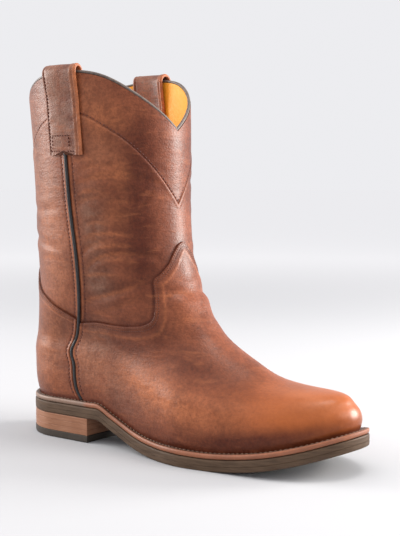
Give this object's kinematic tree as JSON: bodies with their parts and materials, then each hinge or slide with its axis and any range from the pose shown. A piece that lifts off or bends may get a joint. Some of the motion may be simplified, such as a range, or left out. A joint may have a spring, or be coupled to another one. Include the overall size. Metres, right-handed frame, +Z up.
{
  "type": "roper boot",
  "caption": "Right leather roper boot with a round toe, low stacked heel, eared vamp, counter, side piping, V-dipped collar and loop pull straps.",
  "frame": {"origin": "on the floor under the middle of the heel", "axes": "+X towards the toe, +Z up, -Y towards the outer side of the right foot"},
  "size_m": [0.2987, 0.1172, 0.29],
  "materials": {
    "heel_rubber": "matte",
    "heel_lifts": "satin",
    "outsole": "matte",
    "welt": "satin",
    "insole": "matte",
    "shaft_leather": "oiled, with a greyish bloom",
    "vamp_leather": "oiled, burnished at the toe",
    "counter_leather": "oiled, with a greyish bloom",
    "piping": "satin",
    "binding": "satin",
    "strap_leather": "oiled, with a greyish bloom"
  },
  "bodies": {
    "root": {"heel_cap": "heel_rubber", "heel_stack": "heel_lifts", "outsole": "outsole", "welt": "welt", "insole": "insole", "upper": "shaft_leather", "vamp": "vamp_leather", "counter": "counter_leather", "piping_outer": "piping", "piping_inner": "piping", "collar_binding": "binding", "pull_strap_outer": "strap_leather", "pull_strap_inner": "strap_leather"}
  },
  "joints": []
}
